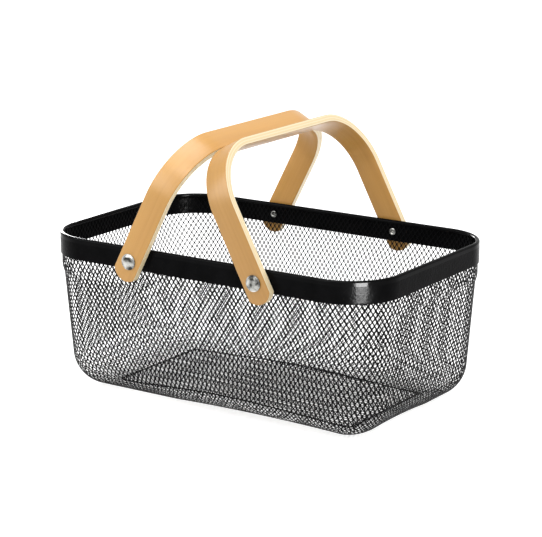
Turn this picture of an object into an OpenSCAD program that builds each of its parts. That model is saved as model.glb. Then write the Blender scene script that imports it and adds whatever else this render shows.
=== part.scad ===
// Oblong mesh basket with a steel rim band and two bentwood carrying handles.
// The length runs along X and the width along Y, and the basket stands on z = 0.
// The handles are drawn leaning on each other over the middle of the basket.

/* [Basket] */
// Length over the rim band
basket_l = 400; // [340:5:480]
// Width over the rim band
basket_w = 250; // [200:5:320]
// Height from the table to the top of the rim
basket_h = 165; // [120:5:220]
// Thickness of the expanded mesh
mesh_t = 1.2; // [0.8:0.1:1.6]
// Depth of the straight mesh collar under the rim band
collar_h = 12; // [6:1:20]
// How far the mesh steps in below the collar
shoulder_step = 2.1; // [1:0.1:3]
// Height over which the mesh steps in
shoulder_h = 8; // [4:1:14]

/* [Mesh openings] */
// Diamond openings across each long side and across the floor
openings_long = 12; // [8:1:12]
// Diamond openings across each end
openings_short = 6; // [4:1:6]
// Diamond openings round each corner
openings_corner = 3; // [2:1:3]
// Full rows of openings down the walls, with a staggered row between each two
wall_rows = 4; // [3:1:5]
// Full rows of openings across the floor, with a staggered row between each two
floor_rows = 4; // [3:1:5]
// Width of the mesh left between two openings
opening_bar = 4; // [3:0.5:5]

/* [Foot and floor] */
// How far the foot lies in from the face of the rim band
foot_inset = 47; // [44:0.5:52]
// Radius of the rounded bottom edge
foot_edge_r = 37; // [28:1:39]
// Corner radius of the foot
foot_corner_r = 7; // [5:0.5:16]
// Width of the flat ring that the basket stands on
foot_flat = 4.5; // [3:0.5:8]
// Thickness of the wire that joins the floor mesh to the wall mesh
floor_wire_d = 2; // [1.6:0.1:2.8]
// Height of that wire's centre over the table
floor_wire_z = 4; // [3.4:0.1:6]
// Corner radius along that wire's centre line
floor_wire_corner_r = 10; // [8:0.5:14]
// Width of the slope on each side of that wire
ridge_run = 4.5; // [3.5:0.5:6]
// Height of the underside of the floor mesh over the table
floor_lift = 1; // [0.4:0.1:1.4]

/* [Rim] */
// Height of the rim band with its rolled edge
band_h = 23; // [21:0.5:30]
// Sheet thickness of the rim band
band_t = 1; // [0.8:0.1:1.4]
// Thickness of the wire inside the rolled edge
rim_wire_d = 2.6; // [2:0.1:3.2]

/* [Handles] */
// Distance between the pivots of the two handles
pivot_spread = 151; // [120:1:170]
// Width of the handle strip
handle_w = 26.6; // [22:0.1:30]
// Thickness of the handle strip
handle_t = 8; // [6:0.1:10]
// Radius of the rounded lower end of each leg
handle_end_r = 15.5; // [15:0.1:20]
// Length of each leg below its pivot
handle_end_drop = 22; // [18:0.5:26]
// Gap between a folded handle's grip and the end of the rim band
fold_gap = 4; // [3:0.5:8]

/* [Rivets] */
// Diameter of the domed rivet head
head_d = 16.5; // [14:0.1:20]
// Height of the dome
dome_h = 1.7; // [1.2:0.1:3]
// Thickness of the head at its edge
head_edge_t = 0.8; // [0.5:0.1:1.2]
// Diameter of the rivet shank
shank_d = 6; // [5:0.1:7]
// Diameter of the rolled tail inside the basket
tail_d = 7.8; // [7.5:0.1:9]
// Height of the rolled tail
tail_h = 1.4; // [1:0.1:2]
// Diameter of the hollow in the tail
tail_bore_d = 3.8; // [3:0.1:4.2]
// Depth of the hollow in the tail
tail_bore_depth = 5; // [4:0.1:7]
// Diameter of the spacer washer behind each leg
washer_d = 15; // [13:0.5:18]
// Thickness of that washer
washer_t = 0.8; // [0.5:0.1:1.5]

/* [Hidden] */
$fn = 96;
// Radial clearance of a handle's hole on its rivet
pivot_clear = 0.05;
// Radial clearance of the rivet holes in the band, the mesh and the washers
hole_clear = 0.1;
// Free play of a leg on each of its faces
leg_play = 0.1;
// Gap between the two handles where they lean on each other
lean_gap = 0.3;
// Clearance of the rim wire in the roll
roll_clear = 0.05;
// Plain mesh left between the table and the lowest openings
foot_margin = 6;
// Plain mesh left between the highest openings and the rim band
band_margin = 2;
// Steps along the rounded bottom edge
edge_steps = 8;
// Overrun of every cut
over = 1;

half_l = basket_l / 2;
half_w = basket_w / 2;
rim_corner_r = foot_corner_r + foot_inset;

roll_r = rim_wire_d / 2 + band_t;
roll_z = basket_h - roll_r;
band_z = basket_h - band_h;
pivot_z = (band_z + roll_z) / 2;
pivot_x = pivot_spread / 2;

mesh_top_z = basket_h - 2 * roll_r;
collar_z = band_z - collar_h;
wall_e = band_t + shoulder_step;
wall_z = collar_z - shoulder_h;
wall_run = foot_inset - wall_e;
wall_rise = wall_z - foot_edge_r;
wall_lean = acos(foot_edge_r / norm([wall_run, wall_rise])) - atan2(wall_rise, wall_run);

foot_l = half_l - foot_inset;
foot_w = half_w - foot_inset;
floor_wire_r = floor_wire_d / 2;
slope_l = foot_l - foot_flat;
slope_w = foot_w - foot_flat;
slope_corner_r = floor_wire_corner_r + floor_wire_r + ridge_run;
floor_wire_l = slope_l - ridge_run - floor_wire_r;
floor_wire_w = slope_w - ridge_run - floor_wire_r;

side_l = half_l - rim_corner_r;
side_w = half_w - rim_corner_r;
row_pitch = (band_z - band_margin - foot_margin) / wall_rows;

rivet_gap = 2 * leg_play + handle_t + washer_t;
leg_y = half_w + washer_t + leg_play;
handle_reach = half_l - pivot_x + fold_gap + handle_t;
handle_bend_r = rim_corner_r + handle_t;
handle_edge = norm([handle_reach, handle_w / 2]);
handle_lean = asin((pivot_x - lean_gap / 2) / handle_edge) - atan2(handle_w / 2, handle_reach);

// A 2D section, drawn as [distance outward from the corner centre, height], led round
// a rounded rectangle with these half sizes and this corner radius.
module ring_sweep(ring_l, ring_w, corner_r) {
    centre_x = ring_l - corner_r;
    centre_y = ring_w - corner_r;
    for (turn = [0, 180]) {
        rotate([0, 0, turn]) {
            translate([centre_x, centre_y, 0]) rotate_extrude(angle = 90) children();
            translate([centre_x, -centre_y, 0]) rotate([0, 0, -90]) rotate_extrude(angle = 90) children();
            translate([centre_x, 0, 0]) rotate([90, 0, 0])
                linear_extrude(height = 2 * centre_y, center = true) children();
            translate([0, centre_y, 0]) rotate([90, 0, 90])
                linear_extrude(height = 2 * centre_x, center = true) children();
        }
    }
}

// A flat rounded rectangle with these half sizes and this corner radius.
module rounded_plate(plate_l, plate_w, corner_r) {
    square([2 * plate_l, 2 * (plate_w - corner_r)], center = true);
    square([2 * (plate_l - corner_r), 2 * plate_w], center = true);
    for (sx = [-1, 1], sy = [-1, 1])
        translate([sx * (plate_l - corner_r), sy * (plate_w - corner_r)]) circle(r = corner_r);
}

// How far the face of the wall mesh lies in from the rim band at this height, below the shoulder.
function wall_inset(z) =
    z > foot_edge_r * (1 - sin(wall_lean))
        ? wall_e + (wall_z - z) * tan(wall_lean)
        : foot_inset - sqrt(foot_edge_r * foot_edge_r - (foot_edge_r - z) * (foot_edge_r - z));

// A diamond that leaves half a bar of mesh round it in a cell of this width and height.
module diamond(cell_w, cell_h) {
    side = norm([cell_w, cell_h]) / 2;
    open_share = 1 - opening_bar / 2 * side / (cell_w * cell_h / 4);
    polygon([
        [cell_w / 2 * open_share, 0], [0, cell_h / 2 * open_share],
        [-cell_w / 2 * open_share, 0], [0, -cell_h / 2 * open_share]
    ]);
}

// Diamonds along a straight side with these half lengths. A staggered row also has one at each end.
module side_openings(count, side_half, staggered) {
    cell_w = 2 * side_half / count;
    for (i = [0 : count - 1 + staggered])
        translate([(i + (1 - staggered) / 2) * cell_w - side_half, 0]) diamond(cell_w, row_pitch);
}

// Diamonds round one corner, cut square to the wall. A staggered row leaves its two ends to the sides.
module corner_openings(z, depth, staggered) {
    turn = 90 / openings_corner;
    cell_w = (rim_corner_r - wall_inset(z)) * turn * PI / 180;
    for (i = [staggered : openings_corner - 1])
        rotate([0, 0, (i + (1 - staggered) / 2) * turn - 45])
            translate([rim_corner_r - depth, 0, z]) rotate([90, 0, 90])
                linear_extrude(height = depth + over) diamond(cell_w, row_pitch);
}

// Diamond openings through the walls, which stand for the fine mesh between its strands.
module wall_openings() {
    for (row = [1 : 2 * wall_rows - 1]) {
        z = foot_margin + row * row_pitch / 2;
        depth = wall_inset(z - row_pitch / 2) + 2 * mesh_t;
        staggered = (row + 1) % 2;
        for (turn = [0, 180]) {
            rotate([0, 0, turn]) translate([0, half_w - depth, z]) rotate([90, 0, 180])
                linear_extrude(height = depth + over) side_openings(openings_long, side_l, staggered);
            rotate([0, 0, turn]) translate([half_l - depth, 0, z]) rotate([90, 0, 90])
                linear_extrude(height = depth + over) side_openings(openings_short, side_w, staggered);
        }
        for (sx = [-1, 1], sy = [-1, 1])
            translate([sx * side_l, sy * side_w, 0]) rotate([0, 0, atan2(sy, sx)])
                corner_openings(z, depth, staggered);
    }
}

// Points down the face of the wall mesh, measured in from the rim band, shifted in by depth.
function wall_line(depth) = concat(
    [[band_t + depth, mesh_top_z], [band_t + depth, collar_z], [wall_e + depth, wall_z]],
    [for (i = [0 : edge_steps])
        let (a = wall_lean + (90 - wall_lean) * i / edge_steps, r = foot_edge_r - depth)
        [foot_inset - r * cos(a), foot_edge_r - r * sin(a)]]
);

module wall_section() {
    face = wall_line(0);
    inside = wall_line(mesh_t);
    points = concat(face, [for (i = [len(inside) - 1 : -1 : 0]) inside[i]]);
    polygon([for (p = points) [rim_corner_r - p[0], p[1]]]);
}

// Mesh that rises from the flat foot ring to the floor wire.
module slope_section() {
    top = floor_wire_z;
    inner = floor_wire_corner_r + floor_wire_r;
    polygon([[slope_corner_r, 0], [slope_corner_r, mesh_t], [inner, top + mesh_t / 2], [inner, top - mesh_t / 2]]);
}

// Mesh that falls from the floor wire to the floor.
module floor_edge_section() {
    top = floor_wire_z;
    outer = floor_wire_corner_r - floor_wire_r;
    inner = outer - ridge_run;
    polygon([
        [outer, top + mesh_t / 2], [outer, top - mesh_t / 2],
        [inner, floor_lift], [inner, floor_lift + mesh_t]
    ]);
}

module rivet_holes(hole_r) {
    for (sx = [-1, 1])
        translate([sx * pivot_x, 0, pivot_z]) rotate([90, 0, 0])
            cylinder(r = hole_r, h = basket_w + 2 * over, center = true);
}

module wall_mesh() {
    color([0.09, 0.09, 0.1]) difference() {
        union() {
            ring_sweep(half_l, half_w, rim_corner_r) wall_section();
            linear_extrude(height = mesh_t) difference() {
                rounded_plate(foot_l, foot_w, foot_corner_r);
                rounded_plate(slope_l, slope_w, slope_corner_r);
            }
            ring_sweep(slope_l, slope_w, slope_corner_r) slope_section();
        }
        rivet_holes(shank_d / 2 + hole_clear);
        wall_openings();
    }
}

// Diamond openings of the floor, between its edges.
module floor_openings(inner_l, inner_w) {
    cell_w = 2 * inner_l / openings_long;
    cell_h = 2 * inner_w / floor_rows;
    for (row = [1 : 2 * floor_rows - 1], i = [(row + 1) % 2 : openings_long - 1])
        translate([(i + (row % 2) / 2) * cell_w - inner_l, row * cell_h / 2 - inner_w])
            diamond(cell_w, cell_h);
}

module floor_mesh() {
    inner_r = floor_wire_corner_r - floor_wire_r - ridge_run;
    inner_l = floor_wire_l - floor_wire_r - ridge_run;
    inner_w = floor_wire_w - floor_wire_r - ridge_run;
    color([0.12, 0.12, 0.13]) {
        ring_sweep(floor_wire_l, floor_wire_w, floor_wire_corner_r) floor_edge_section();
        translate([0, 0, floor_lift]) linear_extrude(height = mesh_t) difference() {
            rounded_plate(inner_l, inner_w, inner_r);
            floor_openings(inner_l, inner_w);
        }
    }
}

module floor_wire() {
    color([0.06, 0.06, 0.07])
        ring_sweep(floor_wire_l, floor_wire_w, floor_wire_corner_r)
            translate([floor_wire_corner_r, floor_wire_z]) circle(r = floor_wire_r);
}

module rim_band() {
    color([0.05, 0.05, 0.06]) difference() {
        ring_sweep(half_l, half_w, rim_corner_r) difference() {
            union() {
                translate([rim_corner_r - band_t, band_z]) square([band_t, roll_z - band_z]);
                translate([rim_corner_r - roll_r, roll_z]) circle(r = roll_r);
            }
            translate([rim_corner_r - roll_r, roll_z]) circle(r = rim_wire_d / 2);
        }
        rivet_holes(shank_d / 2 + hole_clear);
    }
}

module rim_wire() {
    color([0.35, 0.35, 0.37])
        ring_sweep(half_l, half_w, rim_corner_r)
            translate([rim_corner_r - roll_r, roll_z]) circle(r = rim_wire_d / 2 - roll_clear);
}

// Places a rivet or a washer at a pivot, with its own +Z pointing out of the basket.
module at_pivot(sx, sy) {
    translate([sx * pivot_x, sy * half_w, pivot_z]) rotate([-90 * sy, 0, 0]) children();
}

module washer() {
    color([0.15, 0.15, 0.16]) difference() {
        cylinder(d = washer_d, h = washer_t);
        translate([0, 0, -over]) cylinder(r = shank_d / 2 + hole_clear, h = washer_t + 2 * over);
    }
}

// Domed rivet with a hollow tail that is rolled over inside the basket.
module rivet() {
    head_r = head_d / 2;
    dome_r = (head_r * head_r + dome_h * dome_h) / (2 * dome_h);
    edge_z = rivet_gap + head_edge_t;
    clinch_z = -band_t - mesh_t;
    color([0.72, 0.73, 0.74]) difference() {
        union() {
            translate([0, 0, rivet_gap]) cylinder(r = head_r, h = head_edge_t);
            intersection() {
                translate([0, 0, edge_z + dome_h - dome_r]) sphere(r = dome_r);
                translate([0, 0, edge_z]) cylinder(r = head_r, h = dome_h + over);
            }
            translate([0, 0, clinch_z]) cylinder(d = shank_d, h = rivet_gap - clinch_z);
            translate([0, 0, clinch_z - tail_h]) cylinder(d = tail_d, h = tail_h);
        }
        translate([0, 0, clinch_z - tail_h - over]) cylinder(d = tail_bore_d, h = tail_bore_depth + over);
    }
}

// Outline of a handle across the basket, with its pivots on y = 0.
module arch(side_y, top_z, bend_r, bottom_z) {
    translate([-side_y, bottom_z]) square([2 * side_y, top_z - bend_r - bottom_z]);
    translate([bend_r - side_y, bottom_z]) square([2 * (side_y - bend_r), top_z - bottom_z]);
    for (s = [-1, 1])
        translate([s * (side_y - bend_r), top_z - bend_r]) circle(r = bend_r);
}

// Bentwood strip standing upright over its pivot line.
module handle() {
    color([0.85, 0.62, 0.36]) difference() {
        intersection() {
            rotate([90, 0, 90]) linear_extrude(height = handle_w, center = true) difference() {
                arch(leg_y + handle_t, handle_reach, handle_bend_r, -handle_end_drop);
                arch(leg_y, handle_reach - handle_t, handle_bend_r - handle_t, -handle_end_drop - over);
            }
            rotate([90, 0, 0]) linear_extrude(height = 2 * (leg_y + handle_t + over), center = true) {
                translate([0, handle_end_r - handle_end_drop]) circle(r = handle_end_r);
                translate([-handle_w / 2, handle_end_r - handle_end_drop])
                    square([handle_w, handle_reach + handle_end_drop]);
            }
        }
        rotate([90, 0, 0])
            cylinder(r = shank_d / 2 + pivot_clear, h = 2 * (leg_y + handle_t + over), center = true);
    }
}

module handle_at(side) {
    translate([side * pivot_x, 0, pivot_z]) rotate([0, -side * handle_lean, 0]) handle();
}

wall_mesh();
floor_mesh();
floor_wire();
rim_band();
rim_wire();
at_pivot(-1, -1) washer();  // washer_front_left
at_pivot(1, -1) washer();  // washer_front_right
at_pivot(-1, 1) washer();  // washer_back_left
at_pivot(1, 1) washer();  // washer_back_right
at_pivot(-1, -1) rivet();  // rivet_front_left
at_pivot(1, -1) rivet();  // rivet_front_right
at_pivot(-1, 1) rivet();  // rivet_back_left
at_pivot(1, 1) rivet();  // rivet_back_right
handle_at(-1);  // handle_left
handle_at(1);  // handle_right
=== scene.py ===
import math
from collections import Counter
import bpy
import numpy as np
from mathutils import Matrix, Vector


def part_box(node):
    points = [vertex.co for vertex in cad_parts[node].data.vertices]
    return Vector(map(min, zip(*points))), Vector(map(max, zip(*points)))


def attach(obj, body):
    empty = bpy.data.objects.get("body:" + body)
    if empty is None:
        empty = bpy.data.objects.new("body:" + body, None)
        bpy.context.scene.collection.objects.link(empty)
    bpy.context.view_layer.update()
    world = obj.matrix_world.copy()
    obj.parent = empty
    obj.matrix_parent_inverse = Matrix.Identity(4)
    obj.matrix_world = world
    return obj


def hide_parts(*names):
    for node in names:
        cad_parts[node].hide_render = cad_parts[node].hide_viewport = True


# Black mesh basket with a rolled rim band and two bentwood handles, dressed for the studio
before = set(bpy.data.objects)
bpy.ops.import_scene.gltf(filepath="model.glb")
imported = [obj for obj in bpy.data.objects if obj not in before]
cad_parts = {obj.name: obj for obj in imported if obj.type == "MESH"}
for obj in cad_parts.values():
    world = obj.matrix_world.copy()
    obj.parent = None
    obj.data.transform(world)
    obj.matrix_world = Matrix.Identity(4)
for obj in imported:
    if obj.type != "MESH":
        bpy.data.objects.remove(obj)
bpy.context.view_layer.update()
mm = 0.001
fullTurn = 2 * math.pi
quarterTurn = math.pi / 2

# Every ring from the rim down to the foot turns round the same four corner centres
bandLow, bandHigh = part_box("rim_band")
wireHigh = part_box("floor_wire")[1]
foot = {"cornerR": 7 * mm, "inset": 47 * mm}
rimCornerR = foot["cornerR"] + foot["inset"]
cornerX = bandHigh.x - rimCornerR
cornerY = bandHigh.y - rimCornerR


# Helpers for meshes

def middleOf(node):
    low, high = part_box(node)
    return (low + high) / 2


def makePiece(name, points, faces, material, smooth=True, boardCoords=None):
    # Welds points that coincide, drops faces that collapse and pairs that coincide inside the piece, and
    # makes the object
    points = np.asarray(points, float).reshape(-1, 3)
    welded = np.unique(np.round(points, 7), axis=0, return_index=True, return_inverse=True)
    first, place = welded[1], welded[2].reshape(-1)
    kept = []
    for face in faces:
        corners = [int(place[i]) for i in face]
        corners = [c for i, c in enumerate(corners) if c != corners[i - 1]]
        if len(set(corners)) > 2:
            kept.append(corners)
    uses = Counter(frozenset(corners) for corners in kept)
    kept = [corners for corners in kept if uses[frozenset(corners)] == 1]
    mesh = bpy.data.meshes.new(name)
    mesh.from_pydata(points[first].tolist(), [], kept)
    mesh.polygons.foreach_set("use_smooth", [smooth] * len(mesh.polygons))
    if boardCoords is not None:
        coords = np.asarray(boardCoords, np.float32).reshape(-1, 3)[first]
        mesh.attributes.new("board", "FLOAT_VECTOR", "POINT").data.foreach_set("vector", coords.ravel())
    mesh.update()
    mesh.validate()
    piece = bpy.data.objects.new(name, mesh)
    bpy.context.scene.collection.objects.link(piece)
    mesh.materials.append(material)
    return piece


def gridFaces(rows, columns, closeRows=False, closeColumns=False):
    # Quads over a grid of points that is stored row by row
    faces = []
    for r in range(rows if closeRows else rows - 1):
        for c in range(columns if closeColumns else columns - 1):
            nextR = (r + 1) % rows
            nextC = (c + 1) % columns
            faces.append((r * columns + c, r * columns + nextC, nextR * columns + nextC, nextR * columns + c))
    return faces


def fitOut(piece, body, node):
    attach(piece, body)
    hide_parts(node)


def eased(part):
    # From 0 to 1 with a soft start and a soft end
    part = np.clip(part, 0, 1)
    return part * part * (3 - 2 * part)


def aroundRect(share, halfX, halfY, radius):
    # Place and facing at a share of the way round a rounded rectangle, from the middle of the front.
    # The half sizes reach to the corner centres
    share = share % 1
    quarter = radius * quarterTurn
    whole = 4 * (halfX + halfY + quarter)
    fromMiddle = np.abs((share + 0.25) % 0.5 - 0.25) * whole
    signX = np.where(share < 0.5, 1, -1)
    signY = np.where((share + 0.25) % 1 < 0.5, -1, 1)
    turn = np.clip((fromMiddle - halfX) / radius, 0, quarterTurn)
    x = np.minimum(fromMiddle, halfX) + radius * np.sin(turn)
    y = halfY - np.maximum(fromMiddle - halfX - quarter, 0) + radius * np.cos(turn)
    return signX * x, signY * y, signX * np.sin(turn), signY * np.cos(turn)


def sweepRing(name, section, halfX, halfY, radius, material, cornerSteps, sideSteps, lift=None):
    # A closed section of (radius, height) led round a rounded rectangle, and raised by lift at each x
    quarter = radius * quarterTurn
    corner = (quarter, cornerSteps)
    end = (2 * halfY, sideSteps)
    runs = [(halfX, sideSteps), corner, end, corner, (2 * halfX, 2 * sideSteps), corner, end, corner,
            (halfX, sideSteps)]
    knots = []
    reach = 0
    for length, steps in runs:
        knots += [reach + length * i / steps for i in range(steps)]
        reach += length
    x, y, outX, outY = aroundRect(np.array(knots) / reach, halfX, halfY, radius)
    points = []
    for i in range(len(knots)):
        raised = lift(x[i]) if lift else 0
        for out, z in section:
            shift = out - radius
            points.append((x[i] + outX[i] * shift, y[i] + outY[i] * shift, z + raised))
    faces = gridFaces(len(knots), len(section), closeRows=True, closeColumns=True)
    return makePiece(name, points, faces, material)


# Helpers for materials

def newMaterial(name):
    material = bpy.data.materials.new(name)
    material.use_nodes = True
    nodes = material.node_tree.nodes
    return material, nodes, material.node_tree.links, nodes["Principled BSDF"]


def objectCoords(nodes):
    return nodes.new("ShaderNodeTexCoord").outputs["Object"]


def noiseOn(nodes, links, vector, scale, detail=3.0, rough=0.5):
    noise = nodes.new("ShaderNodeTexNoise")
    noise.inputs["Scale"].default_value = scale
    noise.inputs["Detail"].default_value = detail
    noise.inputs["Roughness"].default_value = rough
    links.new(vector, noise.inputs["Vector"])
    return noise.outputs["Fac"]


def rangeOf(nodes, links, value, low, high, fromLow=0.3, fromHigh=0.7):
    spread = nodes.new("ShaderNodeMapRange")
    spread.inputs["From Min"].default_value = fromLow
    spread.inputs["From Max"].default_value = fromHigh
    spread.inputs["To Min"].default_value = low
    spread.inputs["To Max"].default_value = high
    links.new(value, spread.inputs["Value"])
    return spread.outputs["Result"]


def rampOf(nodes, links, value, stops):
    ramp = nodes.new("ShaderNodeValToRGB")
    while len(ramp.color_ramp.elements) < len(stops):
        ramp.color_ramp.elements.new(0.5)
    for element, (place, colour) in zip(ramp.color_ramp.elements, stops):
        element.position = place
        element.color = (*colour, 1)
    links.new(value, ramp.inputs["Fac"])
    return ramp.outputs["Color"]


def mixOf(nodes, links, first, second, factor=None, blend="MIX"):
    mix = nodes.new("ShaderNodeMix")
    mix.data_type = "RGBA"
    mix.blend_type = blend
    mix.inputs["Factor"].default_value = 1.0
    if factor:
        links.new(factor, mix.inputs["Factor"])
    links.new(first, mix.inputs["A"])
    links.new(second, mix.inputs["B"])
    return mix.outputs["Result"]


def bumpFrom(nodes, links, height, strength, depth):
    bump = nodes.new("ShaderNodeBump")
    bump.inputs["Strength"].default_value = strength
    bump.inputs["Distance"].default_value = depth
    links.new(height, bump.inputs["Height"])
    return bump.outputs["Normal"]


def powderCoat(name, low, high, gloss, specular, grain=900, grainDepth=0.05 * mm):
    # Baked black powder coat: a little uneven in tone and gloss, with fine orange peel
    material, nodes, links, surface = newMaterial(name)
    where = objectCoords(nodes)
    cloud = noiseOn(nodes, links, where, 60)
    tone = rampOf(nodes, links, cloud, [(0.3, low), (0.7, high)])
    links.new(tone, surface.inputs["Base Color"])
    links.new(rangeOf(nodes, links, cloud, gloss - 0.04, gloss + 0.05), surface.inputs["Roughness"])
    surface.inputs["Specular IOR Level"].default_value = specular
    peel = noiseOn(nodes, links, where, grain, 2.0)
    links.new(bumpFrom(nodes, links, peel, 0.5, grainDepth), surface.inputs["Normal"])
    return material


# Walls: one expanded sheet, slit into zigzag strands that are joined at their bonds

wallMesh = {
    "cells": 216, "cell": 5.6 * mm, "rowPitch": 4.0 * mm, "rows": 48,
    "strand": 1.42 * mm, "thickness": 0.35 * mm, "drawnThin": 0.2,  # the strands thin out towards the foot
    "top": bandHigh.z - 4.6 * mm, "inset": 1.6 * mm,                # the sheet ends under the rolled edge
    "shoulderTop": 131 * mm, "shoulderDrop": 11 * mm, "lean": math.radians(4.56), "edgeR": 36.4 * mm,
}
# The rows sag from the middle of each long side towards the ends, and close up again at the foot
rowSag = {"depth": 11 * mm, "deepestAt": 0.72, "fadeFrom": 120 * mm}
# Share of the strand's width in each panel, and width of its bonds against two strands that just cross
strandShare = {"front": 1.1, "right": 1.22, "back": 0.72, "left": 0.64, "floor": 1.15}
bondShare = {"front": 1.0, "right": 1.0, "back": 1.9, "left": 1.9, "floor": 1.0}
# Each edge of the foot bows up a little, beside the middle of its side
footBow = {
    "side": 2.0 * mm, "sideShift": 50 * mm, "sideHalf": 100 * mm,
    "end": 2.6 * mm, "endShift": -34 * mm, "endHalf": 62 * mm, "top": 60 * mm,
}
# The crease round the floor, where the wire joins the two sheets, and the floor inside it
crease = {
    "halfX": wireHigh.x - 1 * mm, "halfY": wireHigh.y - 3 * mm, "cornerR": 5 * mm,
    "z": 1.2 * mm, "rise": 5.0 * mm, "slope": 5.5 * mm, "wireR": 0.7 * mm,
    "floorZ": 0.9 * mm, "floorRise": 2.6 * mm,
}
creaseInX = cornerX + crease["cornerR"] - crease["halfX"]
creaseInY = cornerY + crease["cornerR"] - crease["halfY"]
# Stations down the wall's profile. Each run starts on the last station of the one above it
profileSteps = {"behindBand": 20, "leaning": 120, "edge": 40, "flat": 12, "slope": 10}


def bowAlong(x, half):
    # From 1 at the middle to 0 at half on either side
    return np.clip(1 - (x / half) ** 2, 0, 1)


def creaseRise(x):
    return crease["rise"] * bowAlong(x, crease["halfX"]) ** 2


def footRise(x, y, outX, outY):
    # The bows of opposite edges match when the basket is turned half way round
    b = footBow
    alongSide = x * np.where(y < 0, 1, -1) - b["sideShift"]
    alongEnd = y * np.where(x > 0, 1, -1) - b["endShift"]
    sides = b["side"] * np.abs(outY) ** 4 * bowAlong(alongSide, b["sideHalf"])
    ends = b["end"] * outX ** 2 * bowAlong(alongEnd, b["endHalf"])
    return sides + ends


def wallProfile():
    # Down the middle of the sheet: travel, corner radius, height and how far the corner centre has moved in
    w = wallMesh
    steps = profileSteps
    spare = 20 * mm  # carried on above the sheet, where the first rows start
    edgeZ = w["edgeR"] + w["thickness"] / 2
    leanLow = edgeZ - w["edgeR"] * math.sin(w["lean"])
    leanInset = foot["inset"] - w["edgeR"] * math.cos(w["lean"])
    behindBand = np.linspace(w["top"] + spare, w["shoulderTop"], steps["behindBand"])
    leaning = np.linspace(w["shoulderTop"], leanLow, steps["leaning"])[1:]
    z = np.concatenate([behindBand, leaning])
    upright = len(z)
    slanted = leanInset - (z - leanLow) * math.tan(w["lean"])
    inset = w["inset"] + (slanted - w["inset"]) * eased((w["shoulderTop"] - z) / w["shoulderDrop"])
    # round the lower edge
    angles = np.linspace(w["lean"], quarterTurn, steps["edge"])[1:]
    inset = np.concatenate([inset, foot["inset"] - w["edgeR"] * np.cos(angles)])
    z = np.concatenate([z, edgeZ - w["edgeR"] * np.sin(angles)])
    # across the flat ring, where the corner centre moves in, and up the slope to the crease
    flat = np.linspace(0, 1, steps["flat"])[1:]
    slope = np.linspace(0, 1, steps["slope"])[1:]
    ringR = crease["cornerR"] + crease["slope"]
    opening = foot["cornerR"] + (ringR - foot["cornerR"]) * flat
    radius = np.concatenate([rimCornerR - inset, opening, ringR - crease["slope"] * slope])
    movedIn = np.concatenate([0 * z, creaseInX * flat, creaseInX + 0 * slope])
    z = np.concatenate([z, z[-1] + 0 * flat, z[-1] + (crease["z"] - z[-1]) * slope])
    away = np.hypot(np.diff(radius - movedIn), np.diff(z))
    travel = np.concatenate([[0], np.cumsum(away)])
    travel -= np.interp(-w["top"], -z[:upright], travel[:upright])
    return travel, radius, z, movedIn


profile = wallProfile()
profileLength = profile[0][-1]
slopeStart = profile[0][-profileSteps["slope"]]
topRound = 4 * (cornerX + cornerY) + fullTurn * profile[1][0]
print("wall profile is", round(profileLength / mm, 1), "mm long")


def onWall(share, lateral, travel, height):
    # Point of the wall at a share of the way round, shifted sideways and out of the sheet
    travelKnots, radiusKnots, zKnots, inKnots = profile
    outKnots = radiusKnots - inKnots
    radius = np.interp(travel, travelKnots, radiusKnots)
    movedIn = np.interp(travel, travelKnots, inKnots)
    z = np.interp(travel, travelKnots, zKnots)
    probe = 0.5 * mm  # how far on either side the sheet's own slope is taken
    ahead = travel + probe
    behind = travel - probe
    run = np.interp(ahead, travelKnots, outKnots) - np.interp(behind, travelKnots, outKnots)
    rise = np.interp(ahead, travelKnots, zKnots) - np.interp(behind, travelKnots, zKnots)
    size = np.hypot(run, rise)
    halfX = cornerX - movedIn
    halfY = cornerY - movedIn * creaseInY / creaseInX
    x, y, outX, outY = aroundRect(share + lateral / topRound, halfX, halfY, radius)
    outward = -rise / size * height
    onSlope = np.clip((travel - slopeStart) / (profileLength - slopeStart), 0, 1)
    bow = footRise(x, y, outX, outY) * np.clip(1 - z / footBow["top"], 0, 1)
    z = z + run / size * height + bow * (1 - onSlope) + creaseRise(x) * onSlope
    return np.stack([x + outX * outward, y + outY * outward, z], axis=-1)


def sagAt(share, travel):
    fromMiddle = np.abs((share + 0.25) % 0.5 - 0.25) * 4
    sag = rowSag["depth"] * np.clip(fromMiddle / rowSag["deepestAt"], 0, 1) ** 2
    return sag * (1 - eased((travel - rowSag["fadeFrom"]) / (profileLength - rowSag["fadeFrom"])))


def strandRings(strand, firstRow, lastRow, panel):
    # Sections down one zigzag strand, as column, place along it, corners across and corners up. It joins its
    # left or its right neighbour at every row, where the two cross as straight lines and each keeps half
    w = wallMesh
    half = w["thickness"] / 2
    strandWidth = w["strand"] * strandShare[panel]
    crossing = strandWidth * w["rowPitch"] / w["cell"]
    rings = []
    for row in range(firstRow, lastRow + 1):
        leftBond = (strand + row) % 2 == 0
        column = strand if leftBond else strand + 1
        drawn = strandWidth * (1 - w["drawnThin"] * max(row / lastRow, 0) ** 2)
        for end in (-1, 0, 1):
            width = drawn if end else drawn * bondShare[panel] / 2
            near, far = (0, width) if leftBond else (-width, 0)
            place = row * w["rowPitch"] + end * crossing
            rings.append((column, place, (near, far, far, near), (half, half, -half, -half)))
    return rings


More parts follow.
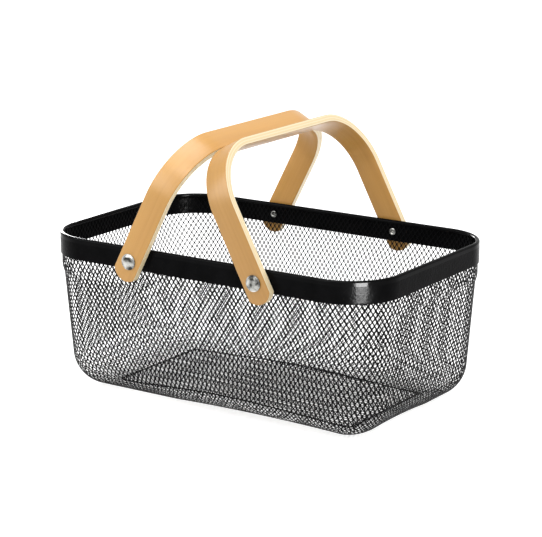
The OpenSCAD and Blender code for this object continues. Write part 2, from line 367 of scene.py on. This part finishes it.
def meshPanel(name, node, strandPoints, material, turned=False):
    # One object from the points of its strands, whose neighbours meet in the middle of each bond. The faces
    # are turned round where the strands run along y
    faces = []
    start = 0
    for points in strandPoints:
        last = len(points) - 4
        quads = [(0, 1, 2, 3), (last + 3, last + 2, last + 1, last)]
        for r in range(0, last, 4):
            quads += [(r + c, r + 4 + c, r + 4 + (c + 1) % 4, r + (c + 1) % 4) for c in range(4)]
        faces += [tuple(start + i for i in (reversed(quad) if turned else quad)) for quad in quads]
        start += len(points)
    piece = makePiece(name, np.concatenate(strandPoints), faces, material, smooth=False)
    fitOut(piece, "basket", node)


def wallStrand(strand, panel):
    # Points of one strand, cut level at the top of the sheet
    w = wallMesh
    firstRow = -4  # the sag brings the first rows down into the sheet
    rings = strandRings(strand, firstRow, w["rows"], panel)
    share, travel, across, up = (np.array(values) for values in zip(*rings))
    share = share / (2 * w["cells"])
    travel = np.minimum(travel + sagAt(share, travel), profileLength)
    cut = int(np.argmax(travel > 0))
    part = -travel[cut - 1] / (travel[cut] - travel[cut - 1])
    for values in (share, across, up):
        values[cut - 1] += (values[cut] - values[cut - 1]) * part
    travel[cut - 1] = 0
    share, travel, across, up = (values[cut - 1:] for values in (share, travel, across, up))
    points = onWall(share[:, None] + 0 * across, across, travel[:, None] + 0 * across, up)
    return points.reshape(-1, 3)


meshCoat = powderCoat("meshCoat", (0.003, 0.003, 0.0035), (0.006, 0.006, 0.0065), gloss=0.36, specular=0.03)
strands = 2 * wallMesh["cells"]
cornerShare = 0.156  # share of the way round from the middle of the front to the middle of a corner
panelEnds = {
    "front": (-cornerShare, cornerShare), "right": (cornerShare, 0.5 - cornerShare),
    "back": (0.5 - cornerShare, 0.5 + cornerShare), "left": (0.5 + cornerShare, 1 - cornerShare),
}
for panel, (start, end) in panelEnds.items():
    own = range(round(start * strands), round(end * strands))
    meshPanel("wall_mesh_" + panel, "wall_mesh", [wallStrand(strand, panel) for strand in own], meshCoat)
print("walls done")


# Floor: the same sheet inside the wire, lower than it at the middle of the long sides

def floorHeight(x, y):
    c = crease
    fromEdge = np.minimum(c["halfX"] - np.abs(x), c["halfY"] - np.abs(y))
    edge = c["z"] + creaseRise(x)
    middle = c["floorZ"] + c["floorRise"] * bowAlong(x, c["halfX"])
    return edge + (middle - edge) * eased(fromEdge / c["slope"])


def floorReach(x):
    # Half width of the floor at this place along it
    straightX = crease["halfX"] - crease["cornerR"]
    over = min(max(abs(x) - straightX, 0), crease["cornerR"])
    return crease["halfY"] - crease["cornerR"] + math.sqrt(crease["cornerR"] ** 2 - over ** 2)


def floorStrand(strand, rows, pitch):
    # Points of one strand, which runs across the basket and is cut where it meets the wire
    rings = strandRings(strand, -rows, rows, "floor")
    x, y, across, up = (np.array(values) for values in zip(*rings))
    x = x * pitch
    reach = floorReach((strand + 0.5) * pitch)
    inside = np.nonzero(np.abs(y) < reach)[0]
    first, last = inside[0], inside[-1]
    for outer, inner, edge in ((first - 1, first, -reach), (last + 1, last, reach)):
        part = (edge - y[inner]) / (y[outer] - y[inner])
        for values in (x, across):
            values[outer] = values[inner] + (values[outer] - values[inner]) * part
        y[outer] = edge
    keep = slice(first - 1, last + 2)
    px = np.clip(x[keep][:, None] + across[keep], -crease["halfX"], crease["halfX"])
    py = y[keep][:, None] + 0 * px
    pz = floorHeight(px, py) + up[keep]
    return np.stack([px, py, pz], axis=-1).reshape(-1, 3)


def floorPanel(material):
    half = int(crease["halfX"] / (wallMesh["cell"] / 2))
    pitch = crease["halfX"] / half
    rows = int(crease["halfY"] / wallMesh["rowPitch"]) + 1
    strandPoints = [floorStrand(strand, rows, pitch) for strand in range(-half, half)]
    meshPanel("floor_mesh_panel", "floor_mesh", strandPoints, material, turned=True)


def floorWire(material):
    c = crease
    angles = np.linspace(0, fullTurn, 13)[:-1]
    section = [(c["cornerR"] + c["wireR"] * math.cos(a), c["z"] + c["wireR"] * math.sin(a)) for a in angles]
    piece = sweepRing("floor_wire_loop", section, c["halfX"] - c["cornerR"], c["halfY"] - c["cornerR"],
                      c["cornerR"], material, cornerSteps=10, sideSteps=24, lift=creaseRise)
    fitOut(piece, "basket", "floor_wire")


floorPanel(powderCoat("floorCoat", (0.004, 0.004, 0.0045), (0.008, 0.008, 0.0085), gloss=0.4, specular=0.06))
floorWire(powderCoat("wireCoat", (0.003, 0.003, 0.0035), (0.006, 0.006, 0.0065), gloss=0.35, specular=0.1))
print("floor and wire done")


# Rim band: a strip with its top edge rolled inward, and the bare wire inside the roll

rimBand = {
    "sheet": 1.0 * mm, "roll": 2.3 * mm, "hem": 0.45 * mm,
    "levels": (0.1, 0.35, 0.6, 0.85), "beadEnd": 4.0 * mm,          # the glossier bead ends this far down
}


def bandSection():
    # Up the outer face, round the rolled edge and down the inner face
    b = rimBand
    hem = b["hem"]
    inner = rimCornerR - b["sheet"]
    rollOut = rimCornerR - b["roll"]
    rollZ = bandHigh.z - b["roll"]
    rounding = np.linspace(0, quarterTurn, 5)
    tuckedTo = fullTurn - math.acos((b["roll"] - b["sheet"]) / b["roll"])
    levels = [bandLow.z + share * (rollZ - bandLow.z) for share in b["levels"]]
    hemZ = [bandLow.z + hem - hem * math.cos(a) for a in rounding]
    points = [(rimCornerR - hem + hem * math.sin(a), z) for a, z in zip(rounding, hemZ)]
    points += [(rimCornerR, z) for z in levels]
    points += [(rollOut + b["roll"] * math.cos(a), rollZ + b["roll"] * math.sin(a))
               for a in np.linspace(0, tuckedTo, 30)]
    points += [(inner, z) for z in reversed(levels)]
    points += [(inner + hem - hem * math.sin(a), z) for a, z in zip(rounding[:0:-1], hemZ[:0:-1])]
    return points


def drawnWire():
    material, nodes, links, surface = newMaterial("drawnWire")
    surface.inputs["Metallic"].default_value = 1.0
    cloud = noiseOn(nodes, links, objectCoords(nodes), 300)
    tone = rampOf(nodes, links, cloud, [(0.3, (0.36, 0.36, 0.37)), (0.7, (0.5, 0.5, 0.51))])
    links.new(tone, surface.inputs["Base Color"])
    links.new(rangeOf(nodes, links, cloud, 0.35, 0.5), surface.inputs["Roughness"])
    return material


bandCoat = powderCoat("bandCoat", (0.002, 0.002, 0.0022), (0.004, 0.004, 0.0044), gloss=0.22, specular=0.016,
                      grain=300, grainDepth=0.4 * mm)
beadCoat = powderCoat("beadCoat", (0.002, 0.002, 0.0022), (0.004, 0.004, 0.0044), gloss=0.16, specular=0.03,
                      grain=420, grainDepth=0.06 * mm)
band = sweepRing("rim_band_rolled", bandSection(), cornerX, cornerY, rimCornerR, bandCoat,
                 cornerSteps=32, sideSteps=14)
band.data.materials.append(beadCoat)
for face in band.data.polygons:
    face.material_index = 1 if face.center.z > bandHigh.z - rimBand["beadEnd"] else 0
fitOut(band, "basket", "rim_band")
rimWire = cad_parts["rim_wire"]
rimWire.data.materials.clear()
rimWire.data.materials.append(drawnWire())
print("band done")


# Rivets and washers, lathed on the four pivots

rivet = {
    "headR": 8.25 * mm, "headH": 2.5 * mm, "edgeR": 0.4 * mm, "edgeFrom": 0.3, "domeFrom": 0.12,
    "rimH": 1.15 * mm, "rimR": 0.45 * mm, "rimW": 0.9 * mm, "rimTo": 0.62 * math.pi,  # rim round the dome
    "grooveW": 0.3 * mm, "grooveD": 0.25 * mm,
    "shankR": 3.0 * mm, "underHead": 0.2 * mm,
    "tailR": 3.9 * mm, "tailH": 1.35 * mm,                          # rolled lip of the hollow tail
    "boreR": 1.4 * mm, "boreD": 2.4 * mm, "tipD": 2.1 * mm, "tipShare": 0.55,
}
washer = {"boreR": 3.1 * mm, "edge": 0.2 * mm}


def lathe(name, outline, place, outward, material, steps=64):
    # An outline of (radius, distance out of the basket) turned round the pivot's own line
    points = []
    for i in range(steps):
        angle = fullTurn * i / steps
        for radius, out in outline:
            points.append((place.x + radius * math.cos(angle), outward * out,
                           place.z + radius * math.sin(angle)))
    faces = gridFaces(steps, len(outline), closeRows=True)
    if outward > 0:
        faces = [tuple(reversed(face)) for face in faces]
    return makePiece(name, points, faces, material)


def rivetOutline(tail, top):
    # From the bottom of the hollow tail, over its rolled lip, up the shank and over the domed head
    r = rivet
    seat = top - r["headH"]
    lip = (r["tailR"] - r["boreR"]) / 2
    lipMiddle = r["boreR"] + lip
    rimTop = seat + r["rimH"]
    domeR = r["headR"] - r["rimW"] - r["grooveW"]
    domeBase = rimTop - r["grooveD"]
    edgeMiddle = r["headR"] - r["edgeR"]
    tip = (r["boreR"] * r["tipShare"], tail + r["tipD"])
    outline = [(0, tail + r["boreD"]), tip, (r["boreR"], tail + lip)]
    outline += [(lipMiddle - lip * math.cos(a), tail + lip - lip * math.sin(a))
                for a in np.linspace(0, math.pi, 13)]
    outline += [(r["shankR"], tail + r["tailH"]), (r["shankR"], seat - r["underHead"]), (edgeMiddle, seat)]
    outline += [(edgeMiddle + r["edgeR"] * math.sin(a), seat + r["edgeR"] * (1 - math.cos(a)))
                for a in np.linspace(r["edgeFrom"], quarterTurn, 4)]
    outline += [(r["headR"] - r["rimR"] * (1 - math.cos(a)), rimTop - r["rimR"] * (1 - math.sin(a)))
                for a in np.linspace(0, r["rimTo"], 7)]
    outline += [(domeR + r["grooveW"] / 2, domeBase)]
    outline += [(domeR * math.cos(a), domeBase + (top - domeBase) * math.sin(a))
                for a in np.linspace(r["domeFrom"], quarterTurn, 14)]
    return outline


def washerOutline(inFace, outFace, outerR):
    bore, edge = washer["boreR"], washer["edge"]
    return [(bore, inFace), (outerR - edge, inFace), (outerR, inFace + edge), (outerR, outFace - edge),
            (outerR - edge, outFace), (bore, outFace), (bore, inFace)]


def steelFinish():
    # Polished steel with painted dark patches, a painted reflection of dark surroundings, and fine turned
    # marks
    material, nodes, links, surface = newMaterial("rivetSteel")
    surface.inputs["Metallic"].default_value = 1.0
    where = objectCoords(nodes)
    cloud = noiseOn(nodes, links, where, 130)
    # the dark end of this ramp is painted reflection: dark patches standing in for dark surroundings mirrored
    # in the steel
    tone = rampOf(nodes, links, cloud, [(0.38, (0.03, 0.03, 0.027)), (0.62, (0.46, 0.46, 0.435))])
    links.new(tone, surface.inputs["Base Color"])
    links.new(rangeOf(nodes, links, cloud, 0.2, 0.32), surface.inputs["Roughness"])
    marks = noiseOn(nodes, links, where, 1600, 2.0)
    links.new(bumpFrom(nodes, links, marks, 0.25, 0.02 * mm), surface.inputs["Normal"])
    return material


steel = steelFinish()
washerCoat = powderCoat("washerCoat", (0.010, 0.010, 0.011), (0.018, 0.018, 0.019), gloss=0.4, specular=0.3,
                        grainDepth=0.03 * mm)
for side in ("left", "right"):
    for depth, outward in (("front", -1), ("back", 1)):
        node = "rivet_" + depth + "_" + side
        pivot = middleOf(node)
        tail, top = sorted(abs(corner.y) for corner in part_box(node))
        piece = lathe(node + "_turned", rivetOutline(tail, top), pivot, outward, steel)
        fitOut(piece, "basket", node)
        node = "washer_" + depth + "_" + side
        low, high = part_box(node)
        inFace, outFace = sorted((abs(low.y), abs(high.y)))
        outline = washerOutline(inFace, outFace, (high.x - low.x) / 2)
        piece = lathe(node + "_turned", outline, pivot, outward, washerCoat)
        fitOut(piece, "basket", node)
print("rivets and washers done")


# Handles: glued plies bent to an arch, drawn flat as a board and then wrapped along the arch

handle = {
    "width": 26.6 * mm, "thickness": 8 * mm, "endR": 15.5 * mm, "endDrop": 22 * mm, "edgeR": 0.9 * mm,
    "innerFace": 125.9 * mm, "reach": 136.5 * mm, "bendR": 58 * mm, "leanGap": 0.3 * mm, "tipSteps": 12,
}
wood = {
    "tones": [(0.25, (0.495, 0.245, 0.045)), (0.5, (0.535, 0.272, 0.055)), (0.8, (0.575, 0.299, 0.067))],
    "innerPaintedLift": 1.2,                                              # the face inside the arch is painted paler, painted light that lifts the shade inside the arch
    "clouds": [(0.3, (0.93, 0.91, 0.87)), (0.7, (1.0, 1.0, 1.0))],
    "plyTones": [(0.92, 0.79, 0.53), (0.87, 0.68, 0.38)], "glue": (0.72, 0.54, 0.29),
    "plies": 5, "veneer": 0.4 * mm, "veneerBlur": 0.15 * mm, "plySpan": (0.07, 0.86),
    "grainScale": (7, 300, 120), "cloudScale": (6, 40, 30),
    "specular": 0.2, "lacquer": 0.68, "lacquerRough": 0.3,
    # each handle is cut from another length of the veneer, and the right one is painted darker as painted
    # shade
    "plankShift": {"left": 0, "right": 1.8}, "paintedShade": {"left": 1.0, "right": 0.85},
}


def archRuns():
    # Length of the upright leg, of the bend and of half the grip, along the middle of the strip
    h = handle
    leg = h["reach"] - h["thickness"] / 2 - h["bendR"]
    grip = h["innerFace"] + h["thickness"] / 2 - h["bendR"]
    return leg, h["bendR"] * quarterTurn, grip


def archPlace(way, through):
    # Point of the arch at a distance from the pivot along the middle of the strip, and through it outwards
    leg, bend, grip = archRuns()
    half = leg + bend + grip
    farHalf = way > half
    if farHalf:
        way = 2 * half - way
    bendR = handle["bendR"]
    turn = min(max(way - leg, 0) / bendR, quarterTurn)
    y = grip + (bendR + through) * math.cos(turn) - max(way - leg - bend, 0)
    z = min(way, leg) + (bendR + through) * math.sin(turn)
    return (y if farHalf else -y), z


def boardSection():
    # Over half the rim of the board, from one face round the edge to the other, as (inset, through)
    edgeR = handle["edgeR"]
    flat = handle["thickness"] / 2 - edgeR
    angles = np.linspace(quarterTurn, 0, 6)
    upper = [(edgeR * (1 - math.cos(a)), flat + edgeR * math.sin(a)) for a in angles]
    lower = [(inset, -through) for inset, through in reversed(upper)]
    return upper + [(0, flat / 2), (0, -flat / 2)] + lower


def tipPlace(step, inset):
    # Along and across the rounded end of the board, for an outline drawn in by inset
    h = handle
    endR = h["endR"] - inset
    angle = math.asin((h["width"] / 2 - inset) / endR) * step / (h["tipSteps"] - 1)
    return h["endR"] - h["endDrop"] - endR * math.cos(angle), endR * math.sin(angle)


def boardLoops():
    # Closed loops round the board, one for each station from end to end, as (along, across, through)
    h = handle
    leg, bend, grip = archRuns()
    half = leg + bend + grip
    ways = [*np.linspace(0, leg, 9)[1:], *(leg + np.linspace(0, bend, 33)[1:])]
    ways += list(leg + bend + np.linspace(0, grip, 6)[1:])
    ways += [2 * half - way for way in reversed(ways[:-1])]
    section = boardSection()
    tips = [[(*tipPlace(step, inset), through) for inset, through in section]
            for step in range(h["tipSteps"])]
    middle = [[(way, h["width"] / 2 - inset, through) for inset, through in section] for way in ways]
    ends = [[(2 * half - way, across, through) for way, across, through in tip] for tip in reversed(tips)]
    loops = []
    for edge in tips + middle + ends:
        loops.append(edge + [(way, -across, through) for way, across, through in reversed(edge)])
    return np.array(loops)


def makeHandle(side, material):
    h = handle
    sign = -1 if side == "left" else 1
    pivot = middleOf("rivet_front_" + side)
    board = boardLoops()
    # the grips lean in until their edges all but touch over the middle
    halfW = h["width"] / 2
    edge = math.hypot(h["reach"], halfW)
    lean = math.asin((abs(pivot.x) - h["leanGap"] / 2) / edge) - math.atan2(halfW, h["reach"])
    tilt = Matrix.Rotation(-sign * lean, 3, "Y")
    points = []
    for way, across, through in board.reshape(-1, 3):
        y, z = archPlace(way, through)
        points.append(tilt @ Vector((across, y, z)) + Vector((pivot.x, 0, pivot.z)))
    faces = gridFaces(len(board), board.shape[1], closeColumns=True)
    coords = board.reshape(-1, 3) + np.array([wood["plankShift"][side], 0, 0])
    piece = makePiece("handle_" + side + "_bentwood", points, faces, material, boardCoords=coords)
    fitOut(piece, side + "_handle", "handle_" + side)


def boardNoise(nodes, links, vector, scale, detail, rough):
    stretch = nodes.new("ShaderNodeMapping")
    stretch.inputs["Scale"].default_value = scale
    links.new(vector, stretch.inputs["Vector"])
    return noiseOn(nodes, links, stretch.outputs["Vector"], 1.0, detail, rough)


def plyStops():
    # Bands of pale ply between the two outer veneers, each with a thin glue line at its end
    start, span = wood["plySpan"]
    glueFade, glueLead, glueAt = 0.012, 0.018, 0.003
    stops = [(0.0, wood["glue"])]
    for i in range(wood["plies"]):
        tone = wood["plyTones"][i % 2]
        low = start + span * i / wood["plies"]
        high = start + span * (i + 1) / wood["plies"]
        stops += [(low + glueFade, tone), (high - glueLead, tone), (high - glueAt, wood["glue"])]
    return stops


def bentwood(name, paintedShade):
    # Birch plies under a clear lacquer: long grain on the faces, pale layered edges
    material, nodes, links, surface = newMaterial(name)
    board = nodes.new("ShaderNodeAttribute")
    board.attribute_name = "board"
    vector = board.outputs["Vector"]
    grain = boardNoise(nodes, links, vector, wood["grainScale"], 6.0, 0.6)
    cloud = boardNoise(nodes, links, vector, wood["cloudScale"], 3.0, 0.5)
    split = nodes.new("ShaderNodeSeparateXYZ")
    links.new(vector, split.inputs["Vector"])
    through = split.outputs["Z"]
    liftedAndPlainTones = []
    # the first tone is painted paler for the faces inside the arch, painted light against the shade there
    for share in (wood["innerPaintedLift"] * paintedShade, paintedShade):
        stops = [(place, tuple(share * part for part in tone)) for place, tone in wood["tones"]]
        liftedAndPlainTones.append(rampOf(nodes, links, grain, stops))
    outerSide = rangeOf(nodes, links, through, 0, 1, -1 * mm, 1 * mm)
    faceTone = mixOf(nodes, links, liftedAndPlainTones[0], liftedAndPlainTones[1], outerSide)
    cloudTone = rampOf(nodes, links, cloud, wood["clouds"])
    faceTone = mixOf(nodes, links, faceTone, cloudTone, blend="MULTIPLY")
    half = handle["thickness"] / 2
    depth = rangeOf(nodes, links, through, 0, 1, -half, half)
    edgeTone = rampOf(nodes, links, depth, plyStops())
    away = nodes.new("ShaderNodeMath")
    away.operation = "ABSOLUTE"
    links.new(through, away.inputs[0])
    veneerFrom = half - wood["veneer"]
    inVeneer = rangeOf(nodes, links, away.outputs["Value"], 0, 1, veneerFrom - wood["veneerBlur"], veneerFrom)
    links.new(mixOf(nodes, links, edgeTone, faceTone, inVeneer), surface.inputs["Base Color"])
    links.new(rangeOf(nodes, links, grain, 0.36, 0.48), surface.inputs["Roughness"])
    surface.inputs["Specular IOR Level"].default_value = wood["specular"]
    surface.inputs["Coat Weight"].default_value = wood["lacquer"]
    surface.inputs["Coat Roughness"].default_value = wood["lacquerRough"]
    links.new(bumpFrom(nodes, links, grain, 0.2, 0.08 * mm), surface.inputs["Normal"])
    return material


# the right handle's material is a darker copy of the left one, painted shade
for side in ("left", "right"):
    makeHandle(side, bentwood("bentwood" + side.capitalize(), wood["paintedShade"][side]))
print("handles done")


# Studio: pale floor, white surroundings and soft lamps

studio = {"worldLevel": 0.75, "paper": (0.9, 0.9, 0.9, 1), "floorLift": 0.45, "floorSize": 16.0}
# Sizes in metres and power in watts. The last two light the band alone: the line along its bead and the
# highlight on its corner
lamps = {
    "keySoftbox": {"place": (0.6, -1.6, 1.7), "target": (0, 0, 0.15), "size": (1.2, 1.0), "power": 7},
    "topSoftbox": {"place": (-0.3, -0.1, 2.1), "target": (0, 0, 0.2), "size": (1.4, 1.4), "power": 36},
    "bendGlare": {"place": (0.0, -0.8, 1.2), "target": (-0.05, -0.1, 0.25), "size": (0.8, 0.6), "power": 8,
                  "glossOnly": True},
    "leftSoftbox": {"place": (-0.8, -1.2, 0.75), "target": (0, 0, 0.2), "size": (1.3, 0.8), "power": 14,
                    "glossOnly": True},
    "rimGlint": {"place": (-1.0, 0.55, 0.42), "target": (-0.15, -0.07, 0.16), "size": (0.5, 0.3), "power": 18,
                 "glossOnly": True, "onlyOn": band},
    "bandStrip": {"place": (0.54, -0.38, 0.15), "target": (0.18, -0.11, 0.15), "size": (0.2, 0.29),
                  "power": 44, "glossOnly": True, "onlyOn": band},
}


def seenDirectly(nodes, links):
    # 1 for what the camera, a reflection or a refraction sees, and 0 for the light that falls on things
    path = nodes.new("ShaderNodeLightPath")
    seen = path.outputs["Is Camera Ray"]
    for other in ("Is Glossy Ray", "Is Transmission Ray"):
        either = nodes.new("ShaderNodeMath")
        either.operation = "MAXIMUM"
        links.new(seen, either.inputs[0])
        links.new(path.outputs[other], either.inputs[1])
        seen = either.outputs["Value"]
    return seen


def makeWorld():
    world = bpy.data.worlds.new("studioWorld")
    bpy.context.scene.world = world
    world.use_nodes = True
    nodes = world.node_tree.nodes
    links = world.node_tree.links
    background = nodes["Background"]
    background.inputs["Color"].default_value = (1, 1, 1, 1)
    seen = seenDirectly(nodes, links)
    links.new(rangeOf(nodes, links, seen, studio["worldLevel"], 1.0, 0, 1), background.inputs["Strength"])


def makeFloor():
    size = studio["floorSize"] / 2
    mesh = bpy.data.meshes.new("studioFloor")
    corners = [(-size, -size, 0), (size, -size, 0), (size, size, 0), (-size, size, 0)]
    mesh.from_pydata(corners, [], [(0, 1, 2, 3)])
    floor = bpy.data.objects.new("studioFloor", mesh)
    bpy.context.scene.collection.objects.link(floor)
    material, nodes, links, surface = newMaterial("paperFloor")
    surface.inputs["Base Color"].default_value = studio["paper"]
    surface.inputs["Roughness"].default_value = 0.9
    surface.inputs["Specular IOR Level"].default_value = 0.0
    surface.inputs["Emission Color"].default_value = (1, 1, 1, 1)
    seen = seenDirectly(nodes, links)
    links.new(rangeOf(nodes, links, seen, 0, studio["floorLift"], 0, 1), surface.inputs["Emission Strength"])
    mesh.materials.append(material)


def makeLamp(name, place, target, size, power, glossOnly=False, onlyOn=None):
    data = bpy.data.lights.new(name, "AREA")
    data.shape = "RECTANGLE"
    data.size, data.size_y = size
    data.energy = power
    lamp = bpy.data.objects.new(name, data)
    lamp.location = place
    lamp.rotation_euler = (Vector(target) - Vector(place)).to_track_quat("-Z", "Y").to_euler()
    bpy.context.scene.collection.objects.link(lamp)
    lamp.visible_diffuse = not glossOnly
    lamp.visible_camera = False
    if onlyOn:
        lit = bpy.data.collections.new(name + "Lights")
        lit.objects.link(onlyOn)
        lamp.light_linking.receiver_collection = lit


makeWorld()
makeFloor()
for name, lamp in lamps.items():
    makeLamp(name, **lamp)


# Camera: where the photograph was taken from

view = {
    "place": (1.16220, -1.69271, 0.65573), "azimuth": 35.207, "elevation": 14.514, "roll": -0.39,
    "sensor": 36, "lens": 136.94, "shiftX": 0.05356, "shiftY": 0.00628,
}
cameraData = bpy.data.cameras.new("studioCamera")
cameraData.sensor_width = view["sensor"]
cameraData.sensor_fit = "HORIZONTAL"
cameraData.lens = view["lens"]
cameraData.shift_x = view["shiftX"]
cameraData.shift_y = view["shiftY"]
camera = bpy.data.objects.new("studioCamera", cameraData)
camera.matrix_world = (
    Matrix.Translation(view["place"])
    @ Matrix.Rotation(math.radians(view["azimuth"]), 4, "Z")
    @ Matrix.Rotation(math.radians(90 - view["elevation"]), 4, "X")
    @ Matrix.Rotation(math.radians(view["roll"]), 4, "Z")
)
bpy.context.scene.collection.objects.link(camera)
bpy.context.scene.camera = camera
bpy.context.scene.view_settings.view_transform = "Standard"

print("scene done")
